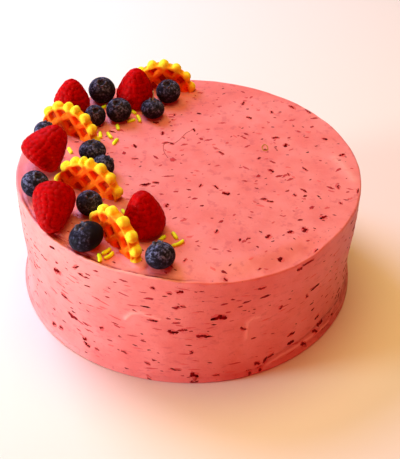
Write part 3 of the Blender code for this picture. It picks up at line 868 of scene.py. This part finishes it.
def raspberry_outline(up, taper):
    """Share of the full width at places from -1, the open end, to 1, the tip."""
    every = np.linspace(-1, 1, 201)
    share, shares = ((1 - at * at) ** 0.22 * (1 - taper * (at + 0.4)) for at in (up, every))
    return share / shares.max()


def cone_points(rows, columns, width, length, taper):
    """Points of a raspberry's cone before its drupelets."""
    up = np.cos(np.linspace(0, math.pi, rows))
    radius = raspberry_outline(up, taper) * width / 2
    return turned(list(zip(radius, up * length / 2)), columns)


def drupelet_centres(width, length, taper, spacing):
    """Places in rings round the cone, each ring turned half a step from the last."""
    up = np.cos(np.linspace(0.02, math.pi - 0.02, 400))
    radius = raspberry_outline(up, taper) * width / 2
    height = up * length / 2
    run = np.concatenate([[0], np.cumsum(np.hypot(np.diff(radius), np.diff(height)))])
    centres = []
    rings = int(run[-1] / (spacing * 0.88))
    for ring in range(rings):
        at = (ring + 0.35) / rings * run[-1]
        here_radius = np.interp(at, run, radius)
        here_height = np.interp(at, run, height)
        count = max(1, round(2 * math.pi * here_radius / spacing))
        for step in range(count):
            angle = (step + 0.5 * (ring % 2) + random.uniform(-0.12, 0.12)) * 2 * math.pi / count
            up_to = here_height + random.uniform(-0.25, 0.25) * MM
            centres.append((here_radius * math.cos(angle), here_radius * math.sin(angle), up_to))
    return np.array(centres)


def outward(points, faces):
    """Unit normals at the points of a closed mesh."""
    mesh = bpy.data.meshes.new("normals")
    mesh.from_pydata(points.tolist(), [], faces)
    found = read_mesh(mesh, "normal")
    bpy.data.meshes.remove(mesh)
    facing = np.sign((found * (points - points.mean(0))).sum(-1).mean())
    return found * facing


def make_raspberry(node, material):
    """A cone of packed drupelets, pressed flat where it sits."""
    width, length, lean, direction, taper = RASPBERRIES[node]
    core_width, core_length = width * MM - DRUPELET_RISE, length * MM - 2 * DRUPELET_RISE
    points, faces = cone_points(100, 150, core_width, core_length, taper)
    centres = drupelet_centres(core_width, core_length, taper, DRUPELET_SPACING)
    away = np.linalg.norm(points[:, None] - centres[None], axis=-1).min(1)
    dome = np.sqrt(np.clip(1 - (away / DRUPELET_REACH) ** 2, 0, 1))
    rise = DRUPELET_RISE * dome + 0.1 * MM * lumps(points, 5 * MM, length)
    points = points + outward(points, faces) * rise[:, None]
    points = moved(points, leaning(lean, direction))
    seat = points[:, 2].min() + BERRY_PRESS
    points[:, 2] = np.maximum(points[:, 2], seat)
    points = over_node(points, node)
    piece = new_piece(node + "_fruit", points, faces, material, "raspberry_flesh", [node])
    # crest is 1 on the drupelets' tops; between them the material paints shade
    paint(piece, "crest", dome)
    return piece


# Blueberries


def blueberry_profile(width, height):
    """(radius, height) from the middle of the crown's hollow to the bottom."""
    crown = CROWN_SHARE * width / 2
    rim = math.sqrt(1 - CROWN_SHARE**2) * height / 2
    profile = [(share * crown * 0.62, rim - 0.9 * MM) for share in np.linspace(0, 1, 6)]
    for share in (0.15, 0.35, 0.55, 0.75, 0.9):
        profile.append((crown * (0.66 + 0.22 * share), rim + (1.15 * share - 0.9) * MM))
    for share, rise in ((0.93, 0.30), (1.0, 0.28), (1.05, 0.16), (1.09, 0.02), (1.15, -0.08)):
        profile.append((crown * share, rim + rise * MM))
    start = math.asin(CROWN_SHARE * 1.25)
    for angle in np.linspace(start, math.pi, 56):
        profile.append((abs(math.sin(angle)) * width / 2, math.cos(angle) * height / 2))
    profile[-1] = (0, -height / 2)
    return profile


def make_blueberry(node, material):
    """A slightly flat ball with a five-lobed crown round a hollow."""
    width, height, lean, direction = BLUEBERRIES[node]
    points, faces = turned(blueberry_profile(width * MM, height * MM), 100)
    radius = np.hypot(points[:, 0], points[:, 1])
    angle = np.arctan2(points[:, 1], points[:, 0])
    crown = CROWN_SHARE * width * MM / 2
    on_crown = bump(radius, crown, 0.26 * crown) * (points[:, 2] > 0)
    lobe = np.abs(np.cos(2.5 * angle)) ** 0.8 * 2 - 1
    points[:, :2] *= (1 + 0.20 * on_crown * lobe)[:, None]
    points[:, 2] += 0.4 * MM * on_crown * lobe
    points *= 1 + 0.018 * lumps(points, 6 * MM, width)[:, None]
    hollow = bump(radius, 0, 0.7 * crown) * (points[:, 2] > 0)
    points = moved(points, leaning(lean, direction))
    # Painted shade: the bloom thins towards the bottom, and in the crown's hollow
    painted_light_from_above = smooth_step(-0.35, 0.55, points[:, 2] * 2 / (height * MM))
    bloom = (0.25 + 0.75 * painted_light_from_above) * (1 - 0.8 * hollow)
    # Painted shade: this berry's right side loses its bloom; its bloom is also halved
    if node == SHADE_SIDED_BERRY:
        bloom *= 0.5 * (1 - smooth_step(0.1, 0.4, points[:, 0] * 2 / (width * MM)))
    seat = points[:, 2].min() + BERRY_PRESS
    points[:, 2] = np.maximum(points[:, 2], seat)
    points = over_node(points, node)
    piece = new_piece(node + "_fruit", points, faces, material, "blueberry_skin", [node])
    paint(piece, "bloom", bloom)
    paint(piece, "crown", np.clip(on_crown * (0.45 + 0.45 * lobe), 0, 1))
    return piece


def make_stem(material):
    """A dry bent stem that stands on one berry's crown."""
    low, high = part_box(STEM_BERRY)
    start = np.array([(low.x + high.x) / 2, (low.y + high.y) / 2, high.z - 1.2 * MM])
    steps = np.linspace(0, 1, 10)[:, None]
    sway = np.sin(steps * 3) * np.array([0.5, 0, 0]) * MM
    path = start + steps * np.array([0.2, 0.8, 6.0]) * MM + sway
    return new_piece("berry_stem", *tube(path, 0.3 * MM), material, "blueberry_skin")


# Waffles


def waffle_solid(node, radius):
    """The half waffle as overlapping closed bodies: a thick plate and a rim of knobs."""
    bm = bmesh.new()
    plate = radius - PLATE_INSET
    bmesh.ops.create_cone(
        bm, cap_ends=True, segments=96, radius1=plate, radius2=plate, depth=PLATE_THICKNESS
    )
    turns = KNOBS[node]
    for turn in turns:
        angle = math.radians(turn)
        away = radius - KNOB_RADIUS
        gap = min(abs(turn - other) for other in turns if other != turn)
        least, most = KNOB_HALF_WIDTHS
        across = min(max(0.53 * math.radians(gap) * away, least), most)
        matrix = Matrix.Translation((away * math.cos(angle), away * math.sin(angle), 0))
        matrix @= Matrix.Rotation(angle, 4, "Z")
        matrix @= Matrix.Diagonal((KNOB_RADIUS, across, KNOB_HALF_THICKNESS, 1))
        knob = bmesh.ops.create_icosphere(bm, subdivisions=3, radius=1)["verts"]
        for corner in knob:
            corner.co.z = math.copysign(abs(corner.co.z) ** KNOB_FLATNESS, corner.co.z)
            corner.co = matrix @ corner.co
    return bm


def pit_share(x, y, radius):
    """1 on the floor of a pit, 0 on the slanting bars and towards the rim."""
    shift = FIRST_PIT_HEIGHT / math.sqrt(2)
    near = []
    for slant in (1, -1):
        across = (x + slant * y) / math.sqrt(2) - slant * shift
        near.append(np.abs((across + PIT_PITCH / 2) % PIT_PITCH - PIT_PITCH / 2))
    floor = smooth_step(*PIT_WALL, np.minimum(*near))
    fade, end = PIT_MARGIN
    return floor * (1 - smooth_step(radius - fade, radius - end, np.hypot(x, y)))


def make_waffle(node, material):
    """Half a small waffle, fused to one skin and standing on its cut side."""
    radius, depth, heading, lean, tilt = WAFFLES[node]
    bm = waffle_solid(node, radius * MM)
    rough = bpy.data.meshes.new(node)
    bm.to_mesh(rough)
    bm.free()
    helper = new_object(node + "_rough", rough)
    remesh = helper.modifiers.new("Fuse", "REMESH")
    remesh.mode = "VOXEL"
    remesh.voxel_size = 0.32 * MM
    smooth = helper.modifiers.new("Soften", "SMOOTH")
    smooth.factor = 0.5
    smooth.iterations = 4
    mesh = bpy.data.meshes.new_from_object(helper.evaluated_get(bpy.context.evaluated_depsgraph_get()))
    bpy.data.objects.remove(helper, do_unlink=True)
    points = read_mesh(mesh, "co")
    pits = pit_share(points[:, 0], points[:, 1], radius * MM)
    points[:, 2] *= 1 - 2 * PIT_DEPTH / WAFFLE_THICKNESS * pits
    mesh.vertices.foreach_set("co", points.ravel())
    tilted = Matrix.Rotation(math.radians(-tilt), 4, "Z")
    upright = Matrix.Rotation(math.radians(90 - lean), 4, "X")
    pose = Matrix.Rotation(math.radians(heading), 4, "Z") @ upright @ tilted
    bm = bmesh.new()
    bm.from_mesh(mesh)
    bm.transform(pose)
    everything = bm.verts[:] + bm.edges[:] + bm.faces[:]
    bmesh.ops.bisect_plane(
        bm, geom=everything, plane_co=(0, 0, depth * MM), plane_no=(0, 0, 1), clear_inner=True
    )
    bmesh.ops.holes_fill(bm, edges=[edge for edge in bm.edges if edge.is_boundary], sides=0)
    bm.to_mesh(mesh)
    bm.free()
    points = read_mesh(mesh, "co")
    local = moved(points, pose.inverted())
    points = points + 0.12 * MM * lumps(points, 2.4 * MM, radius)[:, None]
    points[:, 2] = np.maximum(points[:, 2], depth * MM)
    points = over_node(points, node)
    mesh.vertices.foreach_set("co", points.ravel())
    mesh.update()
    piece = finish_piece(node + "_baked", mesh, material, [node])
    edge = radius * MM
    turn = np.arctan2(local[:, 1], local[:, 0])
    knobs = [bump((turn - math.radians(at)) * edge, 0, 2.0 * MM) for at in KNOBS[node]]
    from_middle = np.hypot(local[:, 0], local[:, 1]) + 0.6 * MM * lumps(local, 3 * MM)
    from_middle += (1.3 * np.max(knobs, axis=0) - 0.3) * MM
    paint(piece, "rim", smooth_step(edge - 4.2 * MM, edge - 1.3 * MM, from_middle))
    # The pit floors, where the material paints shade
    paint(piece, "pit", smooth_step(0.8, 1.0, pit_share(local[:, 0], local[:, 1], edge)))
    return piece


# Camera, light and floor


def make_camera():
    """The photograph's view: from the front and above, rolled slightly."""
    distance, elevation = 0.5441, math.radians(35.43)
    pitch, yaw, roll = math.radians(38.84), math.radians(0.86), math.radians(1.81)
    place_at = Vector((0, -distance * math.cos(elevation), CAKE_HEIGHT + distance * math.sin(elevation)))
    level = math.cos(pitch)
    forward = Vector((math.sin(yaw) * level, math.cos(yaw) * level, -math.sin(pitch)))
    right = forward.cross(Vector((0, 0, 1))).normalized()
    up = right.cross(forward)
    rolled_right = right * math.cos(roll) + up * math.sin(roll)
    rolled_up = up * math.cos(roll) - right * math.sin(roll)
    turn = Matrix((rolled_right, rolled_up, -forward)).transposed().to_4x4()
    data = bpy.data.cameras.new("camera")
    data.sensor_width = 36
    data.lens = 80.97
    data.clip_start = 0.01
    camera = new_object("camera", data)
    camera.matrix_world = Matrix.Translation(place_at) @ turn
    bpy.context.scene.camera = camera


def add_light(name, position, target, size, power, colour):
    """A round lamp of this size in metres and power in watts."""
    data = bpy.data.lights.new(name, "AREA")
    data.shape = "DISK"
    data.size = size
    data.energy = power
    data.color = colour
    light = new_object(name, data)
    light.location = position
    aim = Vector(target) - Vector(position)
    light.rotation_euler = aim.to_track_quat("-Z", "Y").to_euler()


def make_studio():
    """A pale floor and four lights: low at the left, behind it, warm above, and a red glow in front."""
    middle = (0, 0, 0.05)
    add_light("low_window", (-1.0, -0.25, 0.18), middle, 0.3, 13.3, (0.74, 0.92, 1.0))
    add_light("back_window", (-0.55, 0.55, 0.75), middle, 0.6, 12.0, (0.58, 0.60, 1.0))
    add_light("above", (0, 0.15, 1.1), middle, 0.8, 8.9, (1.0, 0.73, 0.28))
    add_light("front_glow", (0.1, -0.95, 0.5), middle, 0.6, 4.2, (1.0, 0.03, 0.01))
    world = bpy.data.worlds.new("world")
    world.use_nodes = True
    background = world.node_tree.nodes["Background"]
    background.inputs["Color"].default_value = (1.0, 0.9, 0.8, 1)
    background.inputs["Strength"].default_value = 0.02
    bpy.context.scene.world = world
    bpy.context.scene.view_settings.view_transform = "Standard"
    mesh = bpy.data.meshes.new("floor")
    half, low = 4.0, -0.2 * MM
    corners = [(-half, -half, low), (half, -half, low), (half, half, low), (-half, half, low)]
    mesh.from_pydata(corners, [], [(0, 1, 2, 3)])
    material, tree, shader = new_material("floor", Roughness=0.6)
    shade = noise_value(tree, place(tree), 0.4, 2)
    colour = mixed(tree, shade, (0.87, 0.83, 0.75), (0.89, 0.85, 0.77))
    tree.links.new(colour, shader.inputs["Base Color"])
    mesh.materials.append(material)
    floor = new_object("floor", mesh)


def main():
    make_camera()
    make_studio()
    surface = make_cream(cream_material())
    make_sprinkles(sprinkle_material())
    make_flecks(fleck_material(), surface)
    make_stem(thread_material())
    red, blue, baked = raspberry_material(), blueberry_material(), waffle_material()
    for node in RASPBERRIES:
        make_raspberry(node, red)
    for node in BLUEBERRIES:
        make_blueberry(node, blue)
    for node in WAFFLES:
        make_waffle(node, baked)


main()
